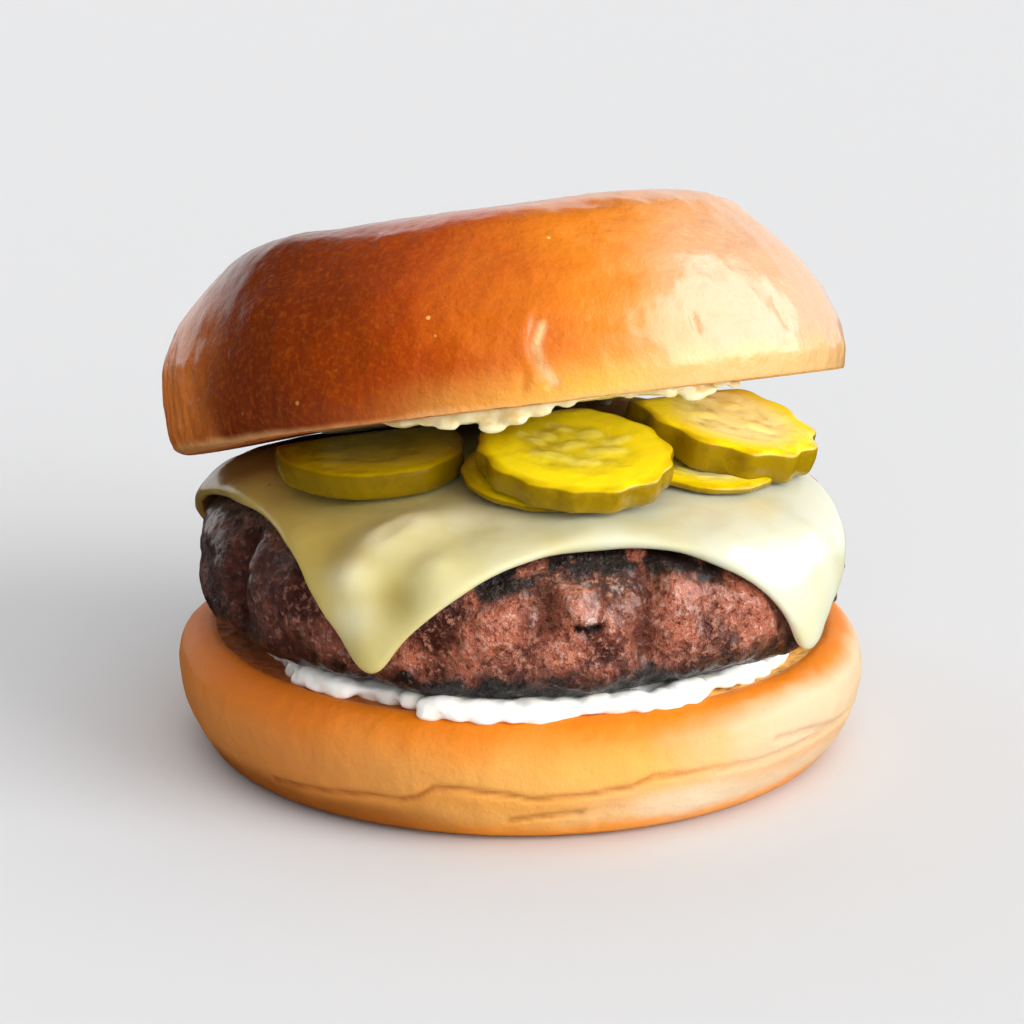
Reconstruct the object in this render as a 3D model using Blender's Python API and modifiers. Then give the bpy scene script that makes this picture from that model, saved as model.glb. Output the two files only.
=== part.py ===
"""A hamburger: a griddled patty under a melted slice of white cheese and five pickle slices, in a
split soft bun.

Metres, +Z up, +X to the right and +Y to the back. The origin is the centre of the flat foot of the heel,
which is the lower half of the bun. The crown, its upper half, leans back and to the left on the pickles.
"""

import math

import bpy
from mathutils import Euler, Matrix, Vector, noise

MM = 0.001
GAP = 0.3 * MM  # between pieces that touch
MERGE = 0.00005

# Bun. Outlines are (radius, height) points in millimetres, from the top on the axis to the foot.
HEEL_CUT = 18.4  # height of the cut face
HEEL_OUTLINE = [
    (45.4, 18.5), (47.4, 18.9), (49.6, 18.1), (52.0, 15.6),
    (52.6, 12.4), (51.8, 8.0), (49.9, 4.2), (47.8, 1.2),
]
HEEL_FOOT = 45.1
CROWN_OUTLINE = [
    (22.7, 29.3), (33.2, 28.3), (39.2, 26.2), (43.8, 21.9),
    (47.4, 18.1), (50.2, 12.9), (51.5, 7.4), (51.6, 3.2),
]
CROWN_HEIGHT = 29.7
CROWN_CUT = 50.7  # radius of the cut face
CROWN_CENTRE = (-1.6 * MM, 0.0, 51.4 * MM)
CROWN_TILT = (math.radians(-15.0), math.radians(-7.1), 0.0)
CROWN_SKEW = 2.2  # how far the shoulder leans to the left, in millimetres
CROWN_SAG = 1.5 * MM  # how far the left end droops
CROWN_RISE = 0.9 * MM  # how much fuller the top is on the right
BUN_UNEVEN = 0.5 * MM
BUN_SEGMENTS = 64

# Patty. Its section is two half superellipses that meet at the widest level.
PATTY_RADIUS = 49.1 * MM
PATTY_FLOOR = 20.6 * MM
PATTY_WAIST = 30.0 * MM
PATTY_TOP = 43.5 * MM
SHOULDER_POWER = 3.0
HEM_POWER = 8.0
PATTY_SEGMENTS = 72
CRAG_DEPTH = 1.3 * MM
CRAG_SIZE = 7.0 * MM
# Clefts in the side: degrees from the front, half width in degrees and depth in mm.
CLEFTS = [(24.5, 3.2, 1.5), (-62.0, 3.0, 0.9), (112.0, 4.0, 1.2), (-150.0, 5.0, 1.1)]
PRESS_SOFTNESS = 0.35 * MM  # how gently a surface turns to follow the crown that presses on it

# Cheese. Angles are degrees from the front, positive to the right; reaches follow the patty's surface, in mm.
CHEESE_CORNERS = [(-110.0, 59.0), (-24.8, 60.2), (56.0, 63.4), (151.0, 57.0)]
CHEESE_SIDES = [(1.8, 43.0, 2.4), (1.9, 40.6, 2.0), (1.7, 40.5, 2.0), (2.0, 40.0, 1.8)]  # curl, reach, curl
CHEESE_THICK = 1.9 * MM
CHEESE_SEGMENTS = 76
CORNER_CROWDING = 0.13  # crowds the segments at the corners

# Sauce under the patty and under the crown: reach in millimetres at each angle, in degrees.
LOWER_SAUCE = [
    (-180, 41.0), (-120, 41.5), (-75, 41.0), (-56, 42.5), (-46, 45.0), (-38, 48.3), (-32, 45.0),
    (-26, 44.8), (-18, 47.0), (-10, 50.2), (-2, 49.6), (7, 48.3), (17, 48.0), (28, 49.2),
    (35, 45.6), (46, 46.8), (58, 45.5), (72, 42.0), (120, 41.5),
]
LOWER_SAUCE_THICK = 1.6 * MM
SAUCE_SHOULDER = 46.0 * MM  # the sauce follows the patty out to here, and then falls to its edge
UPPER_SAUCE = [
    (-180, 10.0), (-120, 16.0), (-70, 34.0), (-42, 45.5), (-31, 47.2), (-22, 46.4), (-10, 48.0), (-3, 48.8),
    (6, 48.2), (18, 48.4), (30, 48.6), (42, 46.0), (60, 40.0), (110, 30.0),
]
UPPER_SAUCE_THICK = 0.9 * MM
DRIPS = [
    (-33.0, 3.0, 0.7), (-17.0, 3.0, 1.5), (-5.0, 3.2, 2.1), (3.0, 4.0, 1.2),
    (33.0, 3.0, 2.4), (46.0, 4.0, 0.8),
]
SAUCE_SEGMENTS = 60

# Pickles: name, centre of the top face in mm, tilt about X and Y in degrees, radius and thickness in mm,
# bumps, droop in mm, and the segments round.
PICKLES = [
    ("pickle_left", (-22.2, -15.6, 50.3), (3.0, -1.0), 14.2, 4.4, 9, 0.3, 44),
    ("pickle_middle", (7.9, -23.8, 52.1), (10.0, 5.0), 14.9, 3.8, 11, 0.3, 48),
    ("pickle_right", (30.8, -3.8, 51.7), (5.0, 15.0), 15.2, 4.3, 11, 0.4, 48),
    ("pickle_lower_middle", (4.0, -22.6, 48.2), (8.5, 4.0), 11.2, 1.5, 10, 0.0, 32),
    ("pickle_lower_right", (22.7, -13.0, 47.1), (4.0, 9.0), 9.0, 1.2, 10, 0.0, 32),
]
BUMP_DEPTH = 0.55 * MM
PICKLE_ROUNDING = 0.7 * MM
PICKLE_SQUASH = 0.3  # share of its thickness that a slice keeps where the crown presses it most


def material(name, colour, roughness):
    made = bpy.data.materials.new(name)
    made.use_nodes = True
    shader = made.node_tree.nodes["Principled BSDF"]
    shader.inputs["Base Color"].default_value = (*colour, 1.0)
    shader.inputs["Roughness"].default_value = roughness
    return made


def smooth_step(value, low, high):
    share = min(1.0, max(0.0, (value - low) / (high - low)))
    return share * share * (3.0 - 2.0 * share)


def angle_from_front(x, y):
    return math.degrees(math.atan2(x, -y))


def apart(angle, other):
    """Degrees between two directions, from 0 to 180."""
    return abs((angle - other + 180.0) % 360.0 - 180.0)


def turned(name, outline, segments, collection):
    """A closed solid turned from (radius, height) points, from the axis down the outside and back to it."""
    mesh = bpy.data.meshes.new(name)
    mesh.from_pydata([(r, 0.0, z) for r, z in outline], [(i, i + 1) for i in range(len(outline) - 1)], [])
    obj = bpy.data.objects.new(name, mesh)
    collection.objects.link(obj)
    screw = obj.modifiers.new("turn", "SCREW")
    screw.steps = screw.render_steps = segments
    screw.use_merge_vertices = True
    screw.merge_threshold = MERGE
    return obj


def shaped(obj, rule, look, location=(0.0, 0.0, 0.0), tilt=(0.0, 0.0, 0.0)):
    """Applies the turning, moves each vertex by the rule, and gives the piece its place and its material.

    The rule gives places in the stack, and the mesh holds them from the piece's own origin.
    """
    graph = bpy.context.evaluated_depsgraph_get()
    mesh = bpy.data.meshes.new_from_object(obj.evaluated_get(graph))
    obj.modifiers.clear()
    obj.data = mesh
    mesh.name = obj.name
    obj.location = location
    obj.rotation_euler = tilt
    place = Matrix.LocRotScale(Vector(location), Euler(tilt), None)
    to_piece = place.inverted()
    for vertex in mesh.vertices:
        vertex.co = to_piece @ rule(vertex.co)
    mesh.shade_smooth()
    mesh.materials.clear()
    mesh.materials.append(look)
    obj.modifiers.new("facets", "TRIANGULATE").quad_method = "SHORTEST_DIAGONAL"
    return obj


def disc_outline(upper, lower, rim_width, rim_steps=3):
    """Outline of a unit disc from height 1 to -1: shares of the radius on each face, and a round rim."""
    turn = [math.pi * (0.5 - step / rim_steps) for step in range(rim_steps + 1)]
    rim = [(1.0 - rim_width + rim_width * math.cos(a), math.sin(a)) for a in turn]
    return [*[(share, 1.0) for share in upper], *rim, *[(share, -1.0) for share in reversed(lower)]]


def uneven(point, size, depth):
    """A soft push in or out of a surface, from noise of the given size."""
    return depth * noise.noise(point / size)


def patty_section(steps=600):
    """Points of (distance along the surface, radius, height), from the middle of the top to the floor's."""
    made = []
    length = 0.0
    for step in range(steps + 1):
        turn = math.pi * (0.5 - step / steps)
        power, tall = HEM_POWER, PATTY_WAIST - PATTY_FLOOR
        if turn > 0:
            power, tall = SHOULDER_POWER, PATTY_TOP - PATTY_WAIST
        radius = PATTY_RADIUS * max(0.0, math.cos(turn)) ** (2.0 / power)
        height = PATTY_WAIST + math.copysign(tall * abs(math.sin(turn)) ** (2.0 / power), turn)
        if made:
            length += math.hypot(radius - made[-1][1], height - made[-1][2])
        made.append((length, radius, height))
    return made


SECTION = patty_section()


def along_patty(distance):
    """Radius, height and outward way on the patty's section, this far along it from the middle of its top."""
    low, high = 0, len(SECTION) - 1
    while high - low > 1:
        middle = (low + high) // 2
        low, high = (middle, high) if SECTION[middle][0] <= distance else (low, middle)
    start, end = SECTION[low], SECTION[high]
    share = (distance - start[0]) / (end[0] - start[0])
    radius = start[1] + (end[1] - start[1]) * share
    height = start[2] + (end[2] - start[2]) * share
    way = Vector((start[2] - end[2], end[1] - start[1])).normalized()
    return radius, height, way


def crown_sag(x):
    """How far the crown's left end droops at this distance from its middle."""
    return CROWN_SAG * smooth_step(-x, 28.0 * MM, 52.0 * MM)


def crown_floor(x, y):
    """Height of the crown's cut face above this place."""
    up = Euler(CROWN_TILT).to_matrix() @ Vector((0, 0, 1))
    x -= CROWN_CENTRE[0]
    y -= CROWN_CENTRE[1]
    return CROWN_CENTRE[2] - (up.x * x + up.y * y) / up.z - crown_sag(x)


def pressed(point, depth):
    """Keeps a point this far below the cut face of the crown."""
    over = (point.z - (crown_floor(point.x, point.y) - depth)) / PRESS_SOFTNESS
    drop = PRESS_SOFTNESS * (over if over > 30 else math.log1p(math.exp(over)))
    return point - Vector((0, 0, drop))


def patty_depth(height):
    """How far the hem of the patty stands above its floor at this radius."""
    share = min(1.0, height / PATTY_RADIUS)
    return (PATTY_WAIST - PATTY_FLOOR) * (1.0 - (1.0 - share**HEM_POWER) ** (1.0 / HEM_POWER))


def between(stops, angle):
    """A smooth value at this angle from (degrees, value) stops round a circle."""
    laps = [(a - 360.0, v) for a, v in stops[-2:]] + stops + [(a + 360.0, v) for a, v in stops[:2]]
    for (low, first), (high, second) in zip(laps, laps[1:]):
        if low <= angle <= high:
            return first + (second - first) * smooth_step(angle, low, high)
    return stops[0][1]


def cheese_reach(angle):
    """Distance along the patty's surface from its middle to the edge of the cheese."""
    corners = [*CHEESE_CORNERS, (CHEESE_CORNERS[0][0] + 360.0, CHEESE_CORNERS[0][1])]
    angle = (angle - corners[0][0]) % 360.0 + corners[0][0]
    for (low, first), (high, second), curls in zip(corners, corners[1:], CHEESE_SIDES):
        start_curl, side, end_curl = curls
        if low <= angle <= high:
            half = (high - low) / 2.0
            from_middle = abs(angle - low - half) / half
            tip, curl = (first, start_curl) if angle < low + half else (second, end_curl)
            return (side + (tip - side) * min(1.0, 1.02 * from_middle**curl)) * MM
    raise ValueError(f"no side of the slice at {angle}")


def heel_rule(point):
    """Leaves the foot and the cut face flat, and makes the crust between them a little uneven."""
    free = smooth_step(point.z, 1.5 * MM, 6 * MM) * (1.0 - smooth_step(point.z, 17.0 * MM, 18.3 * MM))
    out = Vector((point.x, point.y, 0)).normalized()
    return point + out * uneven(point, 19 * MM, BUN_UNEVEN) * free


def crown_rule(point):
    """Leans the shoulder to the left, and makes the crust and the flat top a little uneven."""
    height = point.z / MM
    lean = CROWN_SKEW * math.sin(math.pi * min(1.0, height / CROWN_HEIGHT) ** 1.8) * MM
    rise = CROWN_RISE * smooth_step(point.x, 2.0 * MM, 32.0 * MM) * (height / CROWN_HEIGHT) ** 2
    free = smooth_step(height, 0.5, 6.0)
    out = Vector((point.x, point.y, 0.6 * point.z)).normalized() * free
    moved = Vector((-lean, 0, rise - crown_sag(point.x)))
    return point + moved + out * uneven(point, 17 * MM, 1.5 * BUN_UNEVEN)


def patty_rule(point):
    """Carves crags and clefts into the side of the patty, and presses its top under the crown."""
    radius = math.hypot(point.x, point.y)
    angle = angle_from_front(point.x, point.y)
    side = smooth_step(radius, 0.84 * PATTY_RADIUS, 0.97 * PATTY_RADIUS)
    rough = 0.35 + noise.fractal(point / CRAG_SIZE, 0.7, 2.0, 3)
    depth = CRAG_DEPTH * min(1.0, max(0.0, rough))
    for at, half_width, deep in CLEFTS:
        depth += deep * MM * math.exp(-((apart(angle, at) / half_width) ** 2))
    out = Vector((point.x, point.y, 0)).normalized() if radius > MM else Vector((0, 0, 0))
    return pressed(point - out * depth * side, CHEESE_THICK + 3 * GAP)


def cheese_rule(point):
    """Lays the unit disc over the patty as a melted square slice."""
    share = min(1.0, math.hypot(point.x, point.y))
    turn = angle_from_front(point.x, point.y)
    corner = math.radians(4.0 * (turn - CHEESE_CORNERS[1][0]))
    angle = turn - math.degrees(CORNER_CROWDING) * math.sin(corner)
    radius, height, way = along_patty(share * cheese_reach(angle))
    level = (point.z + 1.0) / 2.0
    out = 2.6 * GAP + CHEESE_THICK * level
    radius += out * way.x
    height += out * way.y
    heading = math.radians(angle)
    laid = Vector((radius * math.sin(heading), -radius * math.cos(heading), height))
    return pressed(laid, GAP + CHEESE_THICK * (1.0 - level))


def lower_sauce_rule(point):
    """Spreads the unit disc on the heel, up to the hem of the patty and out past it at the front."""
    share = math.hypot(point.x, point.y)
    angle = angle_from_front(point.x, point.y)
    reach = between(LOWER_SAUCE, angle) * MM
    radius = share * reach
    floor = HEEL_CUT * MM + GAP
    hem = PATTY_FLOOR + patty_depth(min(radius, SAUCE_SHOULDER)) - GAP
    fall = smooth_step(radius, SAUCE_SHOULDER - 2 * MM, SAUCE_SHOULDER + 5 * MM)
    top = hem - 0.7 * MM * fall
    heel_rim = smooth_step(radius, 45.0 * MM, 47.5 * MM) * (0.6 * MM)
    low = floor + heel_rim
    height = low + (max(top, low + 1.2 * MM) - low) * (point.z + 1.0) / 2.0
    heading = math.radians(angle)
    return Vector((radius * math.sin(heading), -radius * math.cos(heading), height))


def upper_sauce_rule(point):
    """Spreads the unit disc under the cut face of the crown, with drips along its front edge."""
    share = math.hypot(point.x, point.y)
    angle = angle_from_front(point.x, point.y)
    radius = share * between(UPPER_SAUCE, angle) * MM
    thick = UPPER_SAUCE_THICK
    for at, half_width, deep in DRIPS:
        hanging = math.exp(-((apart(angle, at) / half_width) ** 2)) * smooth_step(share, 0.80, 0.93)
        thick += deep * MM * hanging
    heading = math.radians(angle)
    height = -GAP - thick * (1.0 - point.z) / 2.0
    x = radius * math.sin(heading)
    return Vector((x, -radius * math.cos(heading), height - crown_sag(x)))


def pickle_rule(centre, tilt, radius, thick, bumps, droop, seed):
    """Makes the unit disc a slice with a warty rim, laid in its place and pressed under the crown."""
    place = Matrix.LocRotScale(centre, Euler(tilt), None)

    def rule(point):
        share = math.hypot(point.x, point.y)
        heading = math.atan2(point.y, point.x)
        wobble = noise.noise(Vector((2.0 * math.cos(heading), 2.0 * math.sin(heading), seed)))
        wart = abs(math.sin(0.5 * bumps * heading + seed + 0.6 * wobble))
        reach = radius + 0.04 * radius * wobble + BUMP_DEPTH * (wart - 0.5) * share**4
        across = Vector((math.cos(heading), math.sin(heading), 0)) * share * reach
        sag = droop * MM * (across.y / radius) ** 2
        level = (1.0 - point.z) / 2.0
        laid = place @ (across - Vector((0, 0, thick * level + sag)))
        return pressed(laid, UPPER_SAUCE_THICK + 2 * GAP + PICKLE_SQUASH * thick * level)

    return rule


def heel(collection, look):
    outline = [(0.0, HEEL_CUT), *HEEL_OUTLINE, (HEEL_FOOT, 0.0), (0.0, 0.0)]
    outline = [(r * MM, z * MM) for r, z in outline]
    return shaped(turned("bun_heel", outline, BUN_SEGMENTS, collection), heel_rule, look)


def crown(collection, look):
    outline = [(0.0, CROWN_HEIGHT), *CROWN_OUTLINE, (CROWN_CUT, 0.0), (42.0, 0.0), (34.0, 0.0), (0.0, 0.0)]
    outline = [(r * MM, z * MM) for r, z in outline]
    return shaped(turned("bun_crown", outline, BUN_SEGMENTS, collection), crown_rule, look)


def patty(collection, look):
    shares = [0.0, 0.2, 0.36, 0.42, 0.455, 0.48, 0.505, 0.53, 0.555, 0.58, 0.605, 0.63, 0.66, 0.8, 1.0]
    length = SECTION[-1][0]
    outline = [along_patty(min(share * length, length - 1e-9))[:2] for share in shares]
    outline = [(0.0, PATTY_TOP), *outline[1:-1], (0.0, PATTY_FLOOR)]
    place = (0, 0, PATTY_FLOOR)
    return shaped(turned("patty", outline, PATTY_SEGMENTS, collection), patty_rule, look, place)


def cheese(collection, look):
    shares = [0.0, 0.3, 0.52, 0.64, 0.73, 0.80, 0.87, 0.93]
    outline = disc_outline(shares, shares, 0.022)
    place = (0, 0, PATTY_TOP)
    return shaped(turned("cheese", outline, CHEESE_SEGMENTS, collection), cheese_rule, look, place)


def lower_sauce(collection, look):
    outline = disc_outline([0.0, 0.6, 0.84, 0.91], [0.0, 0.92], 0.035)
    place = (0, 0, HEEL_CUT * MM)
    return shaped(turned("sauce_lower", outline, SAUCE_SEGMENTS, collection), lower_sauce_rule, look, place)


def upper_sauce(collection, look):
    outline = disc_outline([0.0, 0.9], [0.0, 0.8, 0.88, 0.94], 0.02)
    return shaped(turned("sauce_upper", outline, SAUCE_SEGMENTS, collection), upper_sauce_rule, look)


def pickle(collection, look, number):
    name, centre, tilt, radius, thick, bumps, droop, segments = PICKLES[number]
    outline = disc_outline([0.0, 0.6, 0.86], [0.0, 0.8], PICKLE_ROUNDING / (radius * MM))
    tilt = (math.radians(tilt[0]), math.radians(tilt[1]), 0.0)
    centre = Vector(centre) * MM
    rule = pickle_rule(centre, tilt, radius * MM, thick * MM, bumps, droop, 1.7 * number)
    return shaped(turned(name, outline, segments, collection), rule, look, centre, tilt)


def main():
    for obj in list(bpy.data.objects):
        bpy.data.objects.remove(obj)
    burger = bpy.data.collections.new("hamburger")
    bpy.context.scene.collection.children.link(burger)

    crust = material("crust", (0.72, 0.33, 0.08), 0.35)
    meat = material("meat", (0.13, 0.05, 0.035), 0.55)
    white_cheese = material("white_cheese", (0.86, 0.82, 0.62), 0.35)
    white_sauce = material("white_sauce", (0.90, 0.88, 0.82), 0.3)
    pickle_flesh = material("pickle_flesh", (0.52, 0.45, 0.03), 0.3)

    heel(burger, crust)
    lower_sauce(burger, white_sauce)
    patty(burger, meat)
    cheese(burger, white_cheese)
    for number in range(len(PICKLES)):
        pickle(burger, pickle_flesh, number)

    tilt = bpy.data.objects.new("crown_tilt", None)
    burger.objects.link(tilt)
    tilt.location = CROWN_CENTRE
    tilt.rotation_euler = CROWN_TILT
    for piece in (crown(burger, crust), upper_sauce(burger, white_sauce)):
        piece.parent = tilt


main()
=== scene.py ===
import math
from contextlib import contextmanager

import bmesh
import bpy
from mathutils import Euler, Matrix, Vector, noise
from mathutils.bvhtree import BVHTree


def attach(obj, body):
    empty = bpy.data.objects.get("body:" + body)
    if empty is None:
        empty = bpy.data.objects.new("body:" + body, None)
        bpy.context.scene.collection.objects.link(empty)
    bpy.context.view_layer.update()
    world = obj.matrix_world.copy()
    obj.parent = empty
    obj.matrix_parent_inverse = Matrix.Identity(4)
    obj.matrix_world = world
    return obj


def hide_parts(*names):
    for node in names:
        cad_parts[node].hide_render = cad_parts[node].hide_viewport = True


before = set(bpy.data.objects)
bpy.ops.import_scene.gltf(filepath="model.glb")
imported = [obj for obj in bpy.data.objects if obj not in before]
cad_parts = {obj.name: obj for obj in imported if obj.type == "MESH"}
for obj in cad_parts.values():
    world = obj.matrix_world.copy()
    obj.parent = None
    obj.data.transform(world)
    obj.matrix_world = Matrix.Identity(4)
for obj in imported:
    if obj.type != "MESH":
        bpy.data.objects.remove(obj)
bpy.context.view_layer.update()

MM = 0.001
RIGHT, BACK, UP = (1.0, 0.0, 0.0), (0.0, 1.0, 0.0), (0.0, 0.0, 1.0)
SIDES = 96  # how many sides a round piece starts with

# The crown's place, as the solids have it.
CROWN_PLACE = Vector((-1.6 * MM, 0.0, 51.4 * MM))
CROWN_TILT = Euler((math.radians(-15.0), math.radians(-7.1), 0.0))
CROWN_UP = CROWN_TILT.to_matrix() @ Vector((0, 0, 1))
CROWN_SAG = 1.5 * MM  # how far its left end droops
CROWN_CLEARANCE = 1.0 * MM  # how far under its cut face the slices are pressed
CROWN_SOFTNESS = 0.35 * MM  # over what depth the pressing fades

# Slices of pickle: the solid, the middle of the top face in mm, the tilt about X and Y in degrees, the radius and
# thickness in mm, the number of warts, and how deep the notches between them are.
SLICES = [
    ("pickle_left", (-22.2, -15.6, 50.3), (3.0, -1.0), 14.2, 4.4, 9, 0.030),
    ("pickle_middle", (7.9, -23.8, 52.1), (10.0, 5.0), 14.9, 4.2, 14, 0.070),
    ("pickle_right", (30.8, -3.8, 51.7), (5.0, 15.0), 15.2, 5.2, 12, 0.110),
    ("pickle_lower_middle", (3.0, -22.6, 48.0), (8.5, 4.0), 12.0, 1.6, 13, 0.04),
    ("pickle_lower_right", (25.5, -11.5, 47.0), (3.0, 9.5), 12.5, 1.6, 11, 0.04),
]

# Seeds that show in a slice's face: place from its middle and length, in shares of the radius, and the turn in
# degrees.
SEEDS = {
    "pickle_middle": [
        (-0.24, -0.24, 0.25, -14), (-0.06, 0.04, 0.20, 40), (0.30, -0.02, 0.24, 16), (-0.44, 0.10, 0.18, -52),
        (0.14, 0.32, 0.20, 78), (-0.16, 0.40, 0.18, 112), (0.08, -0.30, 0.18, 12), (0.40, 0.24, 0.17, 40),
        (-0.30, 0.24, 0.15, -75),
    ],
    "pickle_right": [(0.30, -0.10, 0.22, -20), (-0.24, -0.16, 0.20, 25), (0.06, 0.30, 0.18, 60)],
}

# Sauce squeezed out under the front of the crown: (degrees, inset, rise and radius in mm).
SQUEEZED_OUT = [
    (-17, 1.7, 0.1, 1.0), (-13, 1.6, 0.1, 0.8), (-5, 1.6, 0.1, 1.1), (-1.5, 1.5, -0.1, 1.2), (3, 1.7, 0.1, 1.1),
    (8, 1.8, 0.1, 0.8), (20, 1.8, 0.3, 0.7), (28, 1.8, 0.3, 0.7), (34.5, 1.6, -0.2, 1.1), (38, 1.7, 0.1, 0.9),
    (50, 1.8, 0.1, 0.7), (140, 1.8, 0.0, 0.9), (-150, 1.8, 0.0, 0.9),
]

# Lines in the crust, each through points of (degrees round from the front, height in mm). The crown's heights are
# above its cut face.
HEEL_CRACKS = [
    [(-46, 4.9), (-42, 5.2), (-33, 5.9), (-25, 6.7), (-20, 6.6), (-16.7, 7.6), (-14, 9.4), (-10, 9.7), (-6.4, 9.3),
     (-1.4, 8.8), (1.7, 8.1), (5.5, 8.4), (10, 8.5), (14, 9.0), (17.4, 9.3), (21, 10.5), (26, 10.2), (32, 10.0),
     (42.5, 9.0), (52, 9.1), (62, 9.4), (70, 9.0)],
    [(45, 11.8), (54, 10.9), (61, 9.8)],
    [(-2, 4.1), (4, 5.0), (9.5, 5.3)],
    [(84, 7.5), (97, 8.6), (111, 7.4), (124, 8.1), (139, 6.6)],
    [(-168, 8.3), (-150, 7.2), (-131, 8.4), (-118, 6.9)],
]
CROWN_CREASES = [
    [(2.6, 11.6), (1.4, 8.2), (2.4, 5.2), (4.8, 2.3)],
    [(0.6, 4.4), (0.1, 2.4)],
    [(32.0, 10.0), (32.3, 8.0)],
    [(55.0, 10.3), (55.4, 7.6)],
    [(150, 9.5), (152, 5.0), (149, 2.5)],
]
# The painted highlight along the main crease.
CROWN_STRETCH_MARK = [[(3.5, 10.6), (2.3, 8.0), (3.2, 5.2), (5.4, 2.6)]]

# The same for the bare front of the patty: the short slit, painted black as shade, its upper lip with a painted wet
# highlight, the clefts between the bulges, painted as shade, and the streaks on them with painted wet highlights.
PATTY_SLIT = [[(9.4, 32.5), (11.0, 32.0), (12.8, 32.5)]]
PATTY_LIP = [[(9.8, 33.3), (11.4, 32.9), (13.2, 33.2)]]
PATTY_CLEFTS = [[(22.9, 37.3), (21.3, 33.3), (22.1, 27.9)], [(3.9, 36.5), (4.2, 32.5)], [(-62, 37), (-60, 27)]]
PATTY_STREAKS = [
    [(7.2, 37.5), (8.6, 34.2)], [(11.5, 38.0), (12.2, 34.8)], [(17.0, 37.0), (17.6, 34.0)],
    [(26.5, 37.0), (27.5, 33.5)], [(30.5, 33.5), (31.5, 30.5)], [(1.5, 34.5), (2.0, 32.0)],
]

# Soft mounds, or hollows where the share is negative: place and reach in mm, and the share of the full height.
CROWN_SWELLINGS = [((-38.5, -20.0, 81.0), 11.0, 1.0), ((-40.0, 6.0, 79.0), 9.0, 0.5)]
PATTY_BULGES = [
    ((8.4, -47.4, 35.0), 4.0, 1.0), ((21.5, -43.0, 33.5), 5.0, 1.0), ((-5.0, -48.0, 31.0), 4.5, 0.5),
    ((32.5, -35.5, 32.0), 4.5, 0.8),
]
CHEESE_MOUNDS = [
    ((-15.5, -35.5, 43.5), 4.5, 0.9), ((-20.0, -39.0, 42.0), 4.0, 1.0), ((-24.0, -43.5, 38.5), 3.5, 1.0),
    ((-22.5, -47.0, 31.0), 3.0, 0.5), ((-12.0, -45.0, 39.5), 3.0, 0.7),
    ((-28.5, -36.5, 41.5), 4.0, -1.0), ((-18.2, -47.6, 36.3), 3.2, -1.0), ((-8.0, -38.0, 43.5), 4.0, -0.5),
    ((30.0, -36.0, 42.0), 5.0, 0.6), ((43.5, -25.0, 38.0), 5.0, 0.8), ((10.0, -36.0, 44.0), 5.0, 0.5),
    ((-38.0, -10.0, 44.0), 6.0, 0.7), ((-40.0, 14.0, 43.0), 5.0, -0.7), ((20.0, 40.0, 42.0), 6.0, 0.7),
]
HOLLOW_SHARE = 0.6  # hollows are shallower than mounds are high, so that a thin piece's inner face stays hidden

# Places on the cheese in mm: the crest of its ridge, where a highlight is painted, its olive stains with their reach
# and strength, partly painted shade in its hollows and at the left, and its two hanging tips.
CHEESE_CREST = [
    (-8.0, -33.5, 44.5), (-15.5, -35.5, 43.5), (-20.0, -39.0, 42.0), (-24.0, -43.5, 38.5), (-23.5, -46.0, 33.0),
]
CHEESE_STAINS = [((-18.0, -47.6, 36.5), 3.4, 0.9), ((-29.0, -36.0, 41.5), 7.0, 0.5), ((-22.0, -46.0, 31.5), 5.0, 0.4)]
CHEESE_TIPS = [(-20.9, -46.9, 28.6), (42.2, -29.2, 26.4)]


# Modelling


def only(piece):
    """Selects this piece alone and makes it active."""
    bpy.ops.object.select_all(action="DESELECT")
    piece.select_set(True)
    bpy.context.view_layer.objects.active = piece


@contextmanager
def editing(piece):
    """Edit mode on one piece, with nothing selected at first."""
    only(piece)
    bpy.ops.object.mode_set(mode="EDIT")
    bpy.ops.mesh.select_mode(type="VERT")
    bpy.ops.mesh.select_all(action="DESELECT")
    yield
    bpy.ops.object.mode_set(mode="OBJECT")


def pick_faces(piece, rule):
    """In edit mode, selects the faces whose middle and normal the rule accepts."""
    bpy.ops.mesh.select_mode(type="FACE")
    cage = bmesh.from_edit_mesh(piece.data)
    for face in cage.faces:
        face.select_set(bool(rule(face.calc_center_median(), face.normal)))
    bmesh.update_edit_mesh(piece.data)


def from_solid(name, node):
    """A new piece from a solid of the frame, with its triangles merged and paired into quads."""
    piece = bpy.data.objects.new(name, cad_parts[node].data.copy())
    bpy.context.scene.collection.objects.link(piece)
    piece.data.materials.clear()
    with editing(piece):
        bpy.ops.mesh.select_all(action="SELECT")
        bpy.ops.mesh.remove_doubles(threshold=0.000001)
        bpy.ops.mesh.tris_convert_to_quads(face_threshold=math.radians(60), shape_threshold=math.radians(60))
    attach(piece, "root")
    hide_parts(node)
    return piece


def modify(piece, kind, **settings):
    """Adds a modifier and applies it."""
    only(piece)
    modifier = piece.modifiers.new(kind.lower(), kind)
    for key, value in settings.items():
        setattr(modifier, key, value)
    bpy.ops.object.modifier_apply(modifier=modifier.name)


def subdivide(piece, levels):
    """Rounds a piece's cage."""
    modify(piece, "SUBSURF", levels=levels, render_levels=levels)


def cloudy(size, depth=2):
    """A clouds texture with lumps of this size in metres, for the relief of a surface."""
    texture = bpy.data.textures.new("cloudy", "CLOUDS")
    texture.noise_scale = size
    texture.noise_depth = depth
    return texture


def relief(piece, strength, texture=None, where="", middle=0.5):
    """Pushes the surface in and out by a texture, or evenly, where a vertex group says."""
    settings = {"strength": strength, "mid_level": middle, "direction": "NORMAL", "vertex_group": where}
    if texture:
        settings |= {"texture": texture, "texture_coords": "LOCAL"}
    else:
        settings["mid_level"] = 0.0
    modify(piece, "DISPLACE", **settings)


def weigh(piece, name, rule):
    """A vertex group with the rule's weight, from 0 to 1, at each point."""
    group = piece.vertex_groups.new(name=name)
    for vertex in piece.data.vertices:
        weight = min(1.0, rule(vertex.co))
        if weight > 0.001:
            group.add([vertex.index], weight, "REPLACE")
    return name


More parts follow.
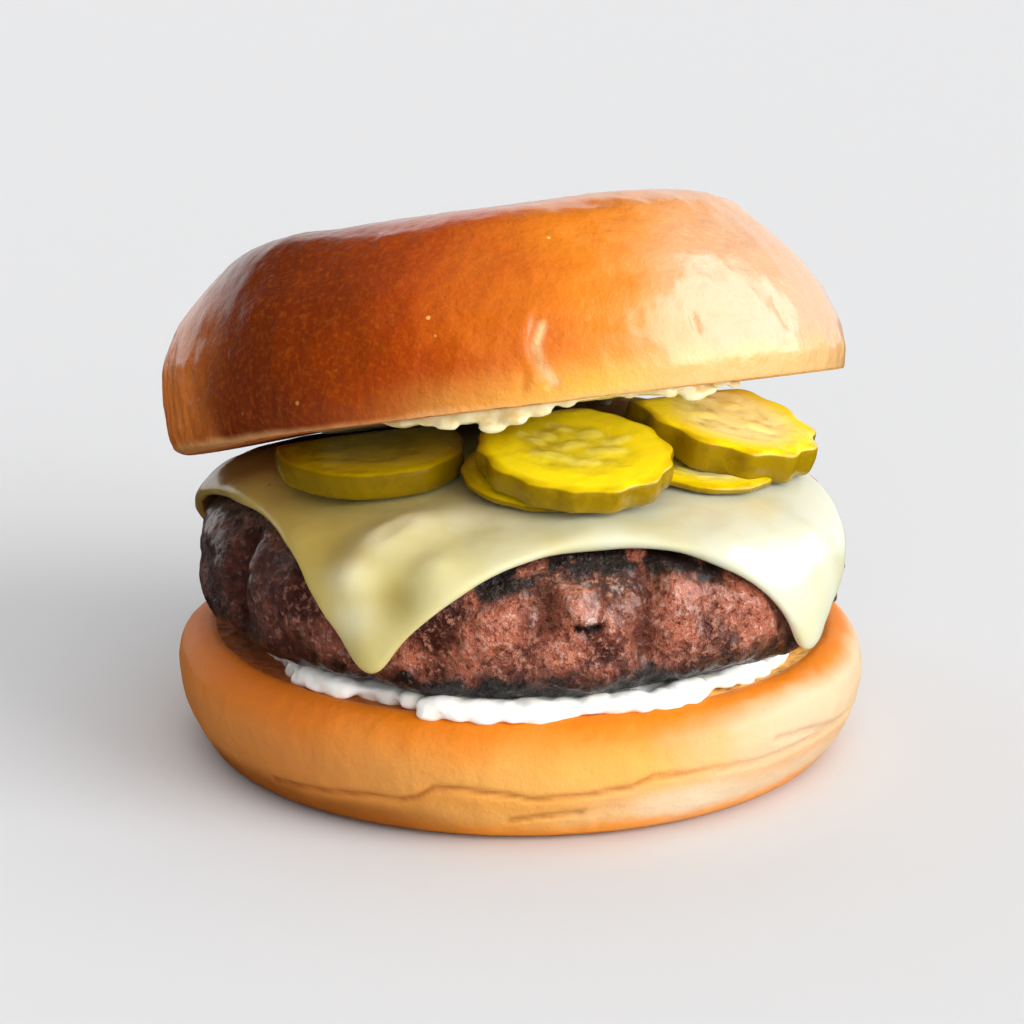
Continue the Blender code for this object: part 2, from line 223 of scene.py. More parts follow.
def step(value, low, high):
    """0 below low, 1 above high, and smooth between them. Low may be the larger."""
    share = min(1.0, max(0.0, (value - low) / (high - low)))
    return share * share * (3.0 - 2.0 * share)


def bump_at(value, centre, width):
    """1 at the centre, falling to 0 a few widths off it."""
    return math.exp(-(((value - centre) / width) ** 2))


def near_place(point, place, reach):
    """1 at a place in mm, falling to 0 a few times its reach in mm off it."""
    return bump_at((point - Vector(place) * MM).length, 0.0, reach * MM)


def azimuth(point):
    """Degrees round the stack from the front, positive to the right."""
    return math.degrees(math.atan2(point.x, -point.y))


def height_on_crown(point):
    """Height above the crown's cut face."""
    return (point - CROWN_PLACE).dot(CROWN_UP) + CROWN_SAG * step(-point.x, 28 * MM, 52 * MM)


def near_line(point, height, lines, width):
    """1 on lines drawn round a piece, falling to 0 a few widths off them."""
    heights = [high * MM for line in lines for _, high in line]
    if not min(heights) - 3 * width < height < max(heights) + 3 * width:
        return 0.0
    turn = azimuth(point)
    scale = math.radians(math.hypot(point.x, point.y))
    nearest = 1.0
    for line in lines:
        if not line[0][0] - 6 < turn < line[-1][0] + 6 and not line[-1][0] - 6 < turn < line[0][0] + 6:
            continue
        for (a, low), (b, high) in zip(line, line[1:]):
            start = Vector(((turn - a) * scale, height - low * MM))
            along = Vector(((b - a) * scale, (high - low) * MM))
            share = min(1.0, max(0.0, start.dot(along) / along.dot(along)))
            nearest = min(nearest, (start - share * along).length)
    return math.exp(-((nearest / width) ** 2))


def swell(piece, places, height):
    """Raises the mounds of a list to this height, and sinks its hollows."""
    for sign, depth in ((1, height), (-1, -HOLLOW_SHARE * height)):
        chosen = [(place, reach, abs(share)) for place, reach, share in places if share * sign > 0]
        if chosen:
            name = weigh(piece, f"mounds{sign}", lambda point: sum(
                share * near_place(point, place, reach) for place, reach, share in chosen))
            relief(piece, depth, where=name)


def paint(piece, name, rule):
    """A painted layer that the materials read: the rule's value at each point, from 0 to 1."""
    layer = piece.data.attributes.new(name, "FLOAT", "POINT")
    layer.data.foreach_set("value", [min(1.0, max(0.0, rule(vertex.co))) for vertex in piece.data.vertices])


def turn_rings(name, rings):
    """A round body of (radius, height) rings in mm, each extruded from the one below, with both ends closed."""
    bpy.ops.object.select_all(action="DESELECT")
    radius, height = rings[0]
    bpy.ops.mesh.primitive_circle_add(vertices=SIDES, radius=radius * MM, location=(0, 0, height * MM))
    piece = bpy.context.object
    piece.name = piece.data.name = name
    bpy.ops.object.transform_apply(location=True)
    with editing(piece):
        bpy.ops.mesh.select_mode(type="EDGE")
        bpy.ops.mesh.select_all(action="SELECT")
        for wider, higher in rings[1:]:
            lift = {"value": (0, 0, (higher - height) * MM)}
            bpy.ops.mesh.extrude_edges_move(TRANSFORM_OT_translate=lift)
            share = wider / radius
            bpy.ops.transform.resize(value=(share, share, 1), center_override=(0, 0, higher * MM))
            radius, height = wider, higher
        bpy.ops.mesh.select_all(action="SELECT")
        bpy.ops.mesh.fill_holes(sides=0)
    return piece


def ring_end(piece, height, insets):
    """Divides a body's flat end at this height in mm into rings, inset one in another, and a fan."""
    with editing(piece):
        pick_faces(piece, lambda p, n: Vector((p.x, p.y, p.z - height * MM)).length < 0.05 * MM)
        for width in insets:
            bpy.ops.mesh.inset(thickness=width * MM, depth=0.0)
        bpy.ops.mesh.poke()
        bpy.ops.mesh.select_all(action="SELECT")
        bpy.ops.mesh.normals_make_consistent(inside=False)


def lay(piece, place, tilt):
    """Puts a piece in its place, and keeps the place in its mesh."""
    piece.location = place
    piece.rotation_euler = tilt
    only(piece)
    bpy.ops.object.transform_apply(location=True, rotation=True)


def fit_to(piece, node):
    """Draws the piece onto its solid, hangs it under the root, and hides the solid."""
    modify(piece, "SHRINKWRAP", target=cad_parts[node], wrap_method="NEAREST_SURFACEPOINT")
    modify(piece, "SMOOTH", factor=0.5, iterations=3)
    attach(piece, "root")
    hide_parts(node)


def join(piece, others):
    """Makes the others part of the piece's mesh."""
    only(piece)
    for other in others:
        other.select_set(True)
    bpy.ops.object.join()


def dress(piece, slot, *finishes):
    """Gives the finished piece its materials and smooth shading."""
    piece.vertex_groups.clear()
    for finish in finishes:
        piece.data.materials.append(finish)
    only(piece)
    bpy.ops.object.shade_smooth()
    return piece


def assign(piece, index, rule):
    """Gives the faces that the rule accepts the material of this index."""
    with editing(piece):
        pick_faces(piece, rule)
        piece.active_material_index = index
        bpy.ops.object.material_slot_assign()


# Materials


class Socket:
    """A node's output. Arithmetic on it adds Math nodes, so a pattern reads as a formula."""

    def __init__(self, finish, output):
        self.finish = finish
        self.output = output

    def _math(self, operation, first, second):
        return self.finish.node("ShaderNodeMath", {"operation": operation}, {0: first, 1: second})[0]

    def __add__(self, other):
        return self._math("ADD", self, other)

    __radd__ = __add__

    def __sub__(self, other):
        return self._math("SUBTRACT", self, other)

    def __rsub__(self, other):
        return self._math("SUBTRACT", other, self)

    def __mul__(self, other):
        return self._math("MULTIPLY", self, other)

    __rmul__ = __mul__


class Finish:
    """A material in the making."""

    def __init__(self, name):
        self.material = bpy.data.materials.new(name)
        self.material.use_nodes = True
        self.tree = self.material.node_tree
        self.shader = self.tree.nodes["Principled BSDF"]
        self.place = self.node("ShaderNodeTexCoord", {}, {})["Object"]
        self.colour = None

    def node(self, kind, settings, values):
        """Adds a node, sets it up, fills its sockets, and returns its outputs by name and number."""
        made = self.tree.nodes.new(kind)
        for key, value in settings.items():
            setattr(made, key, value)
        for key, value in values.items():
            self._fill(made.inputs[key], value)
        outputs = {output.name: Socket(self, output) for output in made.outputs}
        outputs.update({number: Socket(self, output) for number, output in enumerate(made.outputs)})
        return outputs

    def _fill(self, socket, value):
        if isinstance(value, Socket):
            self.tree.links.new(value.output, socket)
        else:
            socket.default_value = value

    def noise(self, size, detail=2.0, rough=0.5, twist=0.0):
        """Soft noise from 0 to 1 with features of this size in metres."""
        values = {"Vector": self.place, "Scale": 1.0 / size, "Detail": detail}
        values |= {"Roughness": rough, "Distortion": twist}
        return self.node("ShaderNodeTexNoise", {}, values)["Fac"]

    def cells(self, size, feature="F1"):
        """Distance from the middles of scattered cells of this size in metres, in shares of the size."""
        values = {"Vector": self.place, "Scale": 1.0 / size}
        return self.node("ShaderNodeTexVoronoi", {"feature": feature}, values)["Distance"]

    def part(self, value, low, high):
        """0 where the value is low and 1 where it is high, smoothly."""
        settings = {"interpolation_type": "SMOOTHSTEP"}
        values = {"Value": value, "From Min": low, "From Max": high, "To Min": 0.0, "To Max": 1.0}
        if low > high:
            values |= {"From Min": high, "From Max": low, "To Min": 1.0, "To Max": 0.0}
        return self.node("ShaderNodeMapRange", settings, values)["Result"]

    def mix(self, share, first, second):
        """One colour or a blend of two."""
        settings = {"data_type": "RGBA", "clamp_factor": True}
        return self.node("ShaderNodeMix", settings, {0: share, 6: first, 7: second})[2]

    def over(self, share, colour):
        """Lays a colour, or a blend, over the colours so far."""
        self.colour = self.mix(share, self.colour, colour)

    def painted(self, name):
        """The value of a painted layer of the piece."""
        return self.node("ShaderNodeAttribute", {"attribute_name": name}, {})["Fac"]

    def along(self, way, origin=(0.0, 0.0, 0.0)):
        """Distance in metres from an origin in one direction."""
        moved = self.node("ShaderNodeVectorMath", {"operation": "SUBTRACT"}, {0: self.place, 1: origin})[0]
        return self.node("ShaderNodeVectorMath", {"operation": "DOT_PRODUCT"}, {0: moved, 1: way})["Value"]

    def out_from(self, centre):
        """Distance in metres from a vertical line."""
        moved = self.node("ShaderNodeVectorMath", {"operation": "SUBTRACT"}, {0: self.place, 1: centre})[0]
        flat = self.node("ShaderNodeVectorMath", {"operation": "MULTIPLY"}, {0: moved, 1: (1.0, 1.0, 0.0)})[0]
        return self.node("ShaderNodeVectorMath", {"operation": "LENGTH"}, {0: flat})["Value"]

    def connect(self, name, value):
        """Feeds one of the shader's sockets."""
        self._fill(self.shader.inputs[name], value)

    def done(self, roughness, height=None, depth=0.0, **constants):
        """Connects the surface, with bumps of this depth in metres, and sets the shader's other sockets by name."""
        self.connect("Base Color", self.colour)
        self.connect("Roughness", roughness)
        if height:
            values = {"Height": height, "Distance": depth, "Strength": 1.0}
            self.connect("Normal", self.node("ShaderNodeBump", {}, values)["Normal"])
        for name, value in constants.items():
            self.shader.inputs[name.replace("_", " ")].default_value = value
        return self.material


def tint(*screen):
    """A colour from its red, green and blue on screen, 0 to 255."""
    return (*[((value / 255 + 0.055) / 1.055) ** 2.4 if value > 10 else value / 3294 for value in screen], 1)


# In these finishes, sizes, places and depths are in metres, and each over() is one layer of colour.


def crown_crust():
    f = Finish("crown_crust")
    height = f.along(tuple(CROWN_UP), tuple(CROWN_PLACE))
    right = f.along(RIGHT)
    mottle = f.noise(0.012, 4.0, 0.55)
    grain = f.noise(0.0009, 3.0, 0.7)
    amber, gold, walnut, ruddy = tint(178, 66, 0), tint(232, 140, 18), tint(88, 29, 0), tint(236, 132, 50)
    peach, honey, straw, rind = tint(206, 160, 122), tint(240, 178, 78), tint(214, 172, 114), tint(222, 166, 104)

    # Darker at the left, partly browner crust and partly painted shade; gold in the middle; peach at the right,
    # partly paler crust and partly painted light; and a painted ruddy sheen on the left edge in front.
    f.colour = f.mix(f.part(right + 0.03 * mottle, -0.004, 0.046), amber, gold)
    f.over(f.part(right + 0.02 * mottle, 0.008, -0.028) * 0.85, walnut)
    front = f.part(f.along(BACK), 0.016, -0.010)
    f.over(f.part(right + 0.008 * mottle, -0.036, -0.050) * front * 0.95, ruddy)
    f.over(f.part(right + 0.024 * mottle, 0.020, 0.044) * 0.95, peach)

    # Paler towards the cut edge; low at the right, a painted reflection of the floor.
    low = f.part(height + 0.007 * mottle, 0.0105, 0.003)
    f.over(low * f.part(right, -0.030, 0.010) * 0.85, honey)
    f.over(low * f.part(right, 0.010, 0.026), straw)
    f.over(f.part(height + 0.002 * mottle, 0.0022, 0.001) * 0.6, rind)

    f.over(f.part(grain, 0.45, 0.75) * 0.15, tint(240, 132, 6))
    # A painted highlight along the main crease.
    f.over(f.painted("stretched") * 0.9, tint(250, 206, 146))
    freckles = f.part(f.cells(0.0042), 0.10, 0.05) * f.part(f.noise(0.012), 0.5, 0.62)
    f.over(freckles * 0.6, tint(246, 196, 110))
    wrinkles = f.noise(0.0042, 4.0, 0.6)
    return f.done(0.28 + 0.14 * grain, wrinkles + 0.2 * grain, 0.0007,
                  Specular_IOR_Level=0.15, Coat_Weight=0.6, Coat_Roughness=0.2, Coat_IOR=1.6)


def heel_crust():
    f = Finish("heel_crust")
    right = f.along(RIGHT)
    mottle = f.noise(0.012, 4.0, 0.55)
    grain = f.noise(0.0013, 3.0, 0.7)
    wave = f.along(UP) + 0.004 * mottle
    orange, tan, cream, beige = tint(224, 122, 8), tint(228, 166, 84), tint(222, 204, 174), tint(210, 180, 144)
    baked, russet, burnt, seam = tint(228, 136, 30), tint(192, 96, 28), tint(132, 66, 8), tint(142, 66, 12)

    # An orange rim, a tan side, and cream low at the right.
    f.colour = f.mix(f.part(wave, 0.0215, 0.0125), orange, tan)
    f.over(f.part(wave, 0.0125, 0.0085) * f.part(right + 0.02 * mottle, 0.012, 0.040), cream)
    f.over(f.part(wave, 0.0205, 0.0175) * f.part(right + 0.02 * mottle, 0.026, 0.050), beige)
    f.over(f.part(wave, 0.0065, 0.0035) * 0.8, baked)
    f.over(f.part(right - 0.015 * mottle, 0.000, -0.045) * 0.6, russet)

    # Painted shade under the long crack, low at the left, and in the cracks, fading towards the right.
    f.over(f.painted("under") * 0.3, tint(214, 134, 40))
    low_left = f.part(wave, 0.0085, 0.0055) * f.part(right - 0.01 * mottle, -0.008, -0.026)
    f.over(low_left * 0.6, burnt)
    f.over(f.painted("crack") * (0.6 - 0.4 * f.part(right, 0.014, 0.034)), seam)
    wrinkles = f.noise(0.0045, 5.0, 0.6)
    return f.done(0.5 + 0.12 * grain, wrinkles + 0.35 * grain, 0.0004,
                  Specular_IOR_Level=0.1, Coat_Weight=0.12, Coat_Roughness=0.3)


def toasted_crumb():
    f = Finish("toasted_crumb")
    pores = f.cells(0.0020)
    mottle = f.noise(0.009, 4.0, 0.6)
    light, brown = tint(240, 178, 84), tint(176, 88, 16)
    # Browner at the left, partly toasting and partly painted shade, with painted shade in the pores.
    f.colour = f.mix(f.part(f.along(RIGHT) + 0.03 * mottle, 0.04, -0.015), light, brown)
    f.over(f.part(mottle, 0.5, 0.7) * 0.6, tint(150, 70, 14))
    f.over(f.part(pores, 0.35, 0.1) * 0.5, tint(112, 54, 14))
    return f.done(0.75, pores + 0.5 * mottle, 0.0006)


def browned_meat():
    f = Finish("browned_meat")
    right = f.along(RIGHT)
    lump = f.noise(0.0075, 4.0, 0.6, 0.5)
    grain = f.noise(0.0012, 4.0, 0.65)
    fine = f.noise(0.0010, 4.0, 0.7)
    crumbs = f.cells(0.0024, "SMOOTH_F1")
    ridge = f.painted("ridge") + 0.5 * lump
    valley, crest, fleck, shaded = tint(78, 30, 20), tint(194, 106, 76), tint(214, 142, 112), tint(78, 46, 42)

    # Painted shade in the valleys and painted light on the ridges and the raised grain, with darker specks, painted
    # shade at the left, and darker below.
    f.colour = f.mix(f.part(ridge, 0.60, 0.94), valley, crest)
    f.over(f.part(crumbs, 0.35, 0.7) * 0.3, tint(64, 26, 18))
    f.over(f.part(grain, 0.50, 0.66) * 0.8, fleck)
    f.over(f.part(fine, 0.48, 0.37) * 0.75, tint(58, 22, 16))
    f.over(f.part(right + 0.01 * lump, -0.018, -0.034) * 0.7, shaded)
    f.over(f.part(f.along(UP) + 0.006 * lump, 0.0310, 0.0260) * 0.65, tint(58, 24, 17))

    # Painted glints on the ridges, painted shade in the clefts, and painted wet highlights.
    fat = f.part(f.noise(0.0010, 4.0, 0.6), 0.56, 0.68) * f.part(ridge, 0.64, 0.90)
    f.over(fat * 0.6, tint(246, 206, 190))
    f.over(f.painted("sunk") * 0.7, tint(64, 24, 18))
    wet = f.part(f.painted("shine") + 0.9 * f.noise(0.0013, 4.0, 0.6), 0.72, 1.02)
    f.over(wet * 0.55, tint(246, 214, 202))

    # Char, with painted grey glints in it.
    blotch = f.part(0.8 * f.painted("char") + 1.6 * fine + 0.6 * f.noise(0.0026, 3.0, 0.6), 1.17, 1.72)
    soot, ash = tint(12, 9, 10), tint(112, 96, 96)
    f.over(blotch * 0.97, f.mix(f.part(fine, 0.56, 0.70) * 0.8, soot, ash))
    f.connect("Coat Weight", 0.5 - 0.25 * blotch)
    return f.done(0.24 + 0.2 * grain, grain + 0.35 * crumbs, 0.0022,
                  Specular_IOR_Level=0.6, Coat_Roughness=0.18)


def melted_cheese():
    f = Finish("melted_cheese")
    right = f.along(RIGHT)
    pools = f.noise(0.016, 2.0, 0.5, 0.6)
    mottle = f.noise(0.005, 3.0, 0.5)
    milky, buttery, olive = tint(205, 207, 185), tint(200, 186, 114), tint(146, 122, 36)
    # Milky at the right; yellower towards the left and darker at the far left, as painted shade.
    f.colour = f.mix(f.part(right + 0.02 * mottle, 0.034, -0.022), milky, buttery)
    f.over(f.part(pools + 0.2 * mottle, 0.5, 0.8) * 0.4, tint(196, 182, 104))
    f.over(f.part(right + 0.01 * mottle, -0.010, -0.030) * 0.45, tint(190, 158, 60))
    f.over(f.part(right + 0.01 * mottle, -0.030, -0.044) * 0.7, tint(118, 90, 42))
    # Olive stains, partly painted shade in the hollows and at the left.
    f.over(f.painted("stain") * 0.75, olive)
    # Painted shade under the crown.
    under_crown = f.part(f.along(BACK), -0.004, 0.010) * f.part(f.out_from((0.0, 0.0, 0.0)), 0.040, 0.034)
    f.over(under_crown * 0.85, tint(96, 66, 24))
    # A painted highlight along the crest.
    f.over(f.painted("crest") * 0.55, tint(232, 228, 198))
    specks = f.part(f.cells(0.0085), 0.055, 0.03)
    f.over(specks * 0.6, tint(120, 100, 60))
    return f.done(0.26 + 0.12 * mottle, f.noise(0.006, 2.0, 0.5), 0.0003,
                  Subsurface_Weight=0.3, Subsurface_Radius=(1.0, 0.8, 0.35), Subsurface_Scale=0.003,
                  Coat_Weight=0.25, Coat_Roughness=0.12)


def white_sauce(name, low, high):
    f = Finish(name)
    lumps = f.noise(0.003, 3.0, 0.5)
    f.colour = f.mix(f.part(lumps, 0.3, 0.6), low, high)
    return f.done(0.25, lumps, 0.0004,
                  Subsurface_Weight=0.2, Subsurface_Radius=(1.0, 0.9, 0.7), Subsurface_Scale=0.0015,
                  Coat_Weight=0.4, Coat_Roughness=0.1)


def pickle_slice():
    f = Finish("pickle_slice")
    across = f.node("ShaderNodeUVMap", {"uv_map": "across"}, {})["UV"]
    reach = f.node("ShaderNodeVectorMath", {"operation": "LENGTH"}, {0: across})["Value"]
    right = f.along(RIGHT)
    height = f.along(tuple(CROWN_UP), tuple(CROWN_PLACE))
    mottle = f.noise(0.005, 3.0, 0.5, 0.5)
    fine = f.noise(0.0011, 3.0, 0.6)
    streaks = f.noise(0.0032, 3.0, 0.55)
    uneven = reach + 0.08 * mottle
    skin = f.painted("skin")
    core, ring, rim, cream = tint(224, 204, 40), tint(250, 226, 10), tint(200, 170, 0), tint(248, 238, 166)

    # The flesh: a duller core in a vivid ring, and cream in the slice at the right.
    pale = f.part(right, 0.020, 0.029)
    f.colour = f.mix(f.part(uneven, 0.40, 0.66), core, ring)
    cloud = f.part(mottle, 0.48, 0.70) * f.part(uneven, 0.62, 0.40) * (1.0 - pale)
    f.over(cloud * 0.55, tint(150, 122, 0))
    f.over(f.part(uneven, 0.88, 1.0), rim)
    f.over(pale * f.part(uneven, 0.92, 0.55), cream)

    # The olive skin with darker streaks.
    f.over(f.part(skin + 0.4 * streaks, 0.35, 0.85), tint(142, 114, 0))
    f.over(skin * f.part(streaks, 0.46, 0.64) * 0.5, tint(112, 90, 0))

    # Painted shade close under the crown and on the slice at the left.
    f.over(f.part(height, -0.0062, -0.0020) * f.part(right, 0.012, -0.004) * 0.7, tint(70, 48, 0))
    f.over(f.part(right, -0.003, -0.010) * 0.45, tint(104, 82, 0))

    seed_here = f.part(f.painted("seed") + 0.15 * fine, 0.35, 0.8)
    f.over(seed_here * f.part(right, -0.006, 0.0) * 0.5, tint(240, 228, 112))
    return f.done(0.18 + 0.14 * fine, mottle + 0.3 * fine, 0.0004,
                  Subsurface_Weight=0.3, Subsurface_Radius=(1.0, 0.9, 0.05), Subsurface_Scale=0.004,
                  Specular_IOR_Level=0.2, Coat_Weight=0.15, Coat_Roughness=0.15)


# The bun


def make_crown():
    """The upper half of the bun: a dome turned in place, then drawn onto its tilted solid."""
    rings = [(50.7, 0.0), (51.3, 0.9), (51.6, 3.2), (51.5, 7.4), (50.2, 12.9), (47.4, 18.1), (43.8, 21.9),
             (39.2, 26.2), (33.2, 28.3), (22.7, 29.3)]
    crown = turn_rings("crown", rings)
    ring_end(crown, 0.0, (0.6, 9.0))
    ring_end(crown, 29.3, (9.0,))
    lay(crown, CROWN_PLACE, CROWN_TILT)
    subdivide(crown, 2)
    fit_to(crown, "bun_crown")
    subdivide(crown, 1)

    crust = weigh(crown, "crust", lambda p: step(height_on_crown(p), 0.4 * MM, 3 * MM))
    relief(crown, 0.55 * MM, cloudy(0.009), crust)
    relief(crown, 0.36 * MM, cloudy(0.0040), crust)

    def folds(point):
        """Fine folds that fan up from the left end."""
        height = height_on_crown(point)
        turn = azimuth(point)
        wave = 0.5 + 0.5 * math.sin(turn * 1.15 + 5.0 * noise.noise(point * 70))
        ends = step(height, 0.5 * MM, 4 * MM) * step(height, 26 * MM, 10 * MM)
        return wave * bump_at(turn, -88.0, 24.0) * ends * (0.4 + 0.6 * step(noise.noise(point * 45), -0.3, 0.4))

    relief(crown, -0.4 * MM, where=weigh(crown, "folds", folds))
    lips = weigh(crown, "lips", lambda p: near_line(p, height_on_crown(p), CROWN_CREASES[:2], 2.8 * MM))
    relief(crown, 0.2 * MM, where=lips)
    creases = weigh(crown, "creases", lambda p: near_line(p, height_on_crown(p), CROWN_CREASES, 0.8 * MM))
    relief(crown, -0.5 * MM, where=creases)
    # A painted highlight along the main crease.
    paint(crown, "stretched", lambda p: near_line(p, height_on_crown(p), CROWN_STRETCH_MARK, 0.6 * MM)
          * (0.85 + 0.6 * noise.noise(p * 300)))
    swell(crown, CROWN_SWELLINGS, 1.6 * MM)
    dress(crown, "crust", crown_crust(), toasted_crumb())
    assign(crown, 1, lambda p, n: n.dot(CROWN_UP) < -0.8 and height_on_crown(p) < 0.4 * MM)
    return crown


def make_heel():
    """The lower half of the bun: a low round body drawn onto its solid, with thin cracks round its side."""
    rings = [(44.4, 0.0), (46.3, 0.4), (47.2, 1.2), (49.8, 4.2), (51.9, 8.0), (52.6, 12.4), (52.0, 15.6),
             (49.6, 18.1), (47.4, 18.9), (45.4, 18.5)]
    heel = turn_rings("heel", rings)
    ring_end(heel, 0.0, (1.5,))
    ring_end(heel, 18.5, (1.0, 9.0))
    subdivide(heel, 2)
    fit_to(heel, "bun_heel")
    subdivide(heel, 1)

    crust = weigh(heel, "crust", lambda p: step(p.z, 0.3 * MM, 2 * MM) * step(p.z, 18.2 * MM, 17 * MM))
    relief(heel, 0.5 * MM, cloudy(0.010), crust)
    relief(heel, 0.14 * MM, cloudy(0.003), crust)
    cut = weigh(heel, "cut", lambda p: step(p.z, 17.5 * MM, 18.0 * MM)
                * step(math.hypot(p.x, p.y), 48 * MM, 46 * MM))
    relief(heel, 0.35 * MM, cloudy(0.0025, 3), cut, 0.7)
    cracks = weigh(heel, "cracks", lambda p: near_line(p, p.z, HEEL_CRACKS, 0.45 * MM))
    relief(heel, -0.6 * MM, where=cracks)
    # Painted shade in the cracks and just under the long crack.
    paint(heel, "crack", lambda p: near_line(p, p.z, HEEL_CRACKS, 0.36 * MM))
    paint(heel, "under", lambda p: near_line(p, p.z + 1.5 * MM, HEEL_CRACKS[:1], 1.6 * MM))
    dress(heel, "crust", heel_crust(), toasted_crumb())
    assign(heel, 1, lambda p, n: p.z > 17.9 * MM and math.hypot(p.x, p.y) < 46.6 * MM and n.z > 0.5)
    return heel


# The filling


def make_cheese():
    """The melted slice, from its solid, with soft mounds and hollows and thickened tips."""
    cheese = from_solid("cheese_slice", "cheese")
    subdivide(cheese, 2)
    swell(cheese, CHEESE_MOUNDS, 1.5 * MM)
    points = [vertex.co.copy() for vertex in cheese.data.vertices]
    tips = [min(points, key=lambda p: (p - Vector(tip) * MM).length) / MM for tip in CHEESE_TIPS]
    drip = weigh(cheese, "drip", lambda p: max(near_place(p, tip, 3.2) for tip in tips))
    modify(cheese, "DISPLACE", strength=-1.3 * MM, mid_level=0.0, direction="Z", vertex_group=drip)
    relief(cheese, 0.35 * MM, where=drip)
    relief(cheese, 0.5 * MM, cloudy(0.012, 1))
    # Olive stains, partly painted shade, and a painted highlight along the crest.
    paint(cheese, "stain", lambda p: sum(
        strength * near_place(p, place, reach) for place, reach, strength in CHEESE_STAINS))
    paint(cheese, "crest", lambda p: max(near_place(p, place, 3.6) for place in CHEESE_CREST))
    return dress(cheese, "white_cheese", melted_cheese())


def make_patty(slice_tree):
    """The patty, with its crags and char on the side that the cheese leaves bare."""
    rings = [(41.0, 20.6), (45.0, 21.0), (47.6, 22.6), (48.7, 25.5), (49.0, 29.0), (48.7, 32.6), (47.6, 36.0),
             (45.3, 39.0), (41.5, 41.3), (36.0, 42.8)]
    patty = turn_rings("patty_meat", rings)
    ring_end(patty, 20.6, (8.0,))
    ring_end(patty, 42.8, (8.0,))
    subdivide(patty, 2)
    fit_to(patty, "patty")
    subdivide(patty, 1)

    def off_cheese(point):
        return slice_tree.find_nearest(point)[3]

    def bare(point):
        """The side of the patty where no cheese lies on it."""
        side = step(math.hypot(point.x, point.y), 38 * MM, 43 * MM)
        return step(off_cheese(point), 0.9 * MM, 2.6 * MM) * side * (1.0 - 0.4 * step(point.x, -20 * MM, -32 * MM))

    def on(lines, width, rise=0.0):
        """A rule that is 1 on lines drawn round the patty, with their width and rise in mm."""
        return lambda point: near_line(point, point.z - rise * MM, lines, width * MM)

    bare_side = weigh(patty, "bare", bare)
    lumps, crags = cloudy(0.010, 1), cloudy(0.0045, 2)
    swell(patty, PATTY_BULGES, 1.2 * MM)

    def ridge(point):
        """How far a place stands out: on the crests of the lumps and on the bulges, where the meat's colour paints
        light, with painted shade in the valleys.
        """
        out = max(share * near_place(point, place, reach) for place, reach, share in PATTY_BULGES)
        return 0.5 * lumps.evaluate(point)[3] + 0.5 * crags.evaluate(point)[3] + 0.3 * out

    # Painted light on the crests and bulges, and painted shade in the valleys.
    paint(patty, "ridge", ridge)
    relief(patty, 2.4 * MM, lumps, bare_side, 0.45)
    relief(patty, 1.3 * MM, crags, bare_side)
    relief(patty, 0.8 * MM, cloudy(0.0018, 2), bare_side)
    relief(patty, -2.0 * MM, where=weigh(patty, "slit", on(PATTY_SLIT, 0.75)))
    relief(patty, 0.9 * MM, where=weigh(patty, "lip", on(PATTY_LIP, 1.0)))
    relief(patty, -2.0 * MM, where=weigh(patty, "clefts", on(PATTY_CLEFTS, 2.2)))

    def char(point):
        """Black where the grill touched: blisters under the edge of the cheese and the hem; and the slit, painted
        black as shade.
        """
        blotch = 0.5 + 0.9 * noise.fractal(point * 170, 0.6, 2.0, 3)
        top = step(off_cheese(point), 5.5 * MM, 1.5 * MM) * step(point.z, 33 * MM, 38 * MM)
        hem = step(point.z + 2.4 * MM * blotch, 27.6 * MM, 23.2 * MM)
        left = 0.35 * step(point.x, -34 * MM, -44 * MM)
        # The slit is painted black as shade.
        in_slit = 1.6 * on(PATTY_SLIT, 0.6)(point)
        return max(top * step(blotch, 0.0, 0.7), hem, left * step(blotch, 0.3, 0.8), in_slit)

    paint(patty, "char", char)
    # Painted highlights on the lip and along the streaks, and painted shade in the clefts and the slit.
    paint(patty, "shine", lambda p: max(on(PATTY_LIP, 0.4, 0.5)(p), 0.36 * on(PATTY_STREAKS, 1.6)(p)))
    paint(patty, "sunk", lambda p: max(on(PATTY_CLEFTS, 2.2)(p), on(PATTY_SLIT, 0.8)(p)))
    return dress(patty, "meat", browned_meat())


def rim_of(node, turn):
    """The place of a flat solid's rim in this direction."""
    close = [v.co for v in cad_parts[node].data.vertices if abs(azimuth(v.co) - turn) < 5.0]
    return max(close, key=lambda p: math.hypot(p.x, p.y))


def make_sauce(name, node, finish, dollops, voxel, lumps, drawn_back=lambda turn: 0.0, lift=Vector((0, 0, 0))):
    """Sauce from its solid, with dollops squeezed out along its rim: (degrees, inset, rise and radius in mm).

    The voxel and the lumps are in mm. The rim is drawn back by a share of its reach that a rule gives for each turn.
    """
    sauce = from_solid(name, node)
    subdivide(sauce, 1)
    for vertex in sauce.data.vertices:
        back = 1.0 - drawn_back(azimuth(vertex.co))
        vertex.co.x *= back
        vertex.co.y *= back
        vertex.co += lift
    drops = []
    for turn, inset, rise, radius in dollops:
        stretch = 1.8 + 0.9 * noise.noise(Vector((turn * 0.5, 7, 0)))
        rim = rim_of(node, turn)
        reach = math.hypot(rim.x, rim.y) - inset * MM
        place = (reach * math.sin(math.radians(turn)), -reach * math.cos(math.radians(turn)), rim.z + rise * MM)
        bpy.ops.object.select_all(action="DESELECT")
        bpy.ops.mesh.primitive_ico_sphere_add(subdivisions=3, radius=radius * MM, location=place,
                                              rotation=(0, 0, math.radians(turn)), scale=(stretch, 1, 0.8))
        drops.append(bpy.context.object)
    join(sauce, drops)
    modify(sauce, "REMESH", mode="VOXEL", voxel_size=voxel * MM)
    modify(sauce, "SMOOTH", factor=0.5, iterations=6)
    relief(sauce, lumps * MM, cloudy(0.0050, 1))
    relief(sauce, 0.35 * lumps * MM, cloudy(0.0022, 1))
    return dress(sauce, "white_sauce", finish)


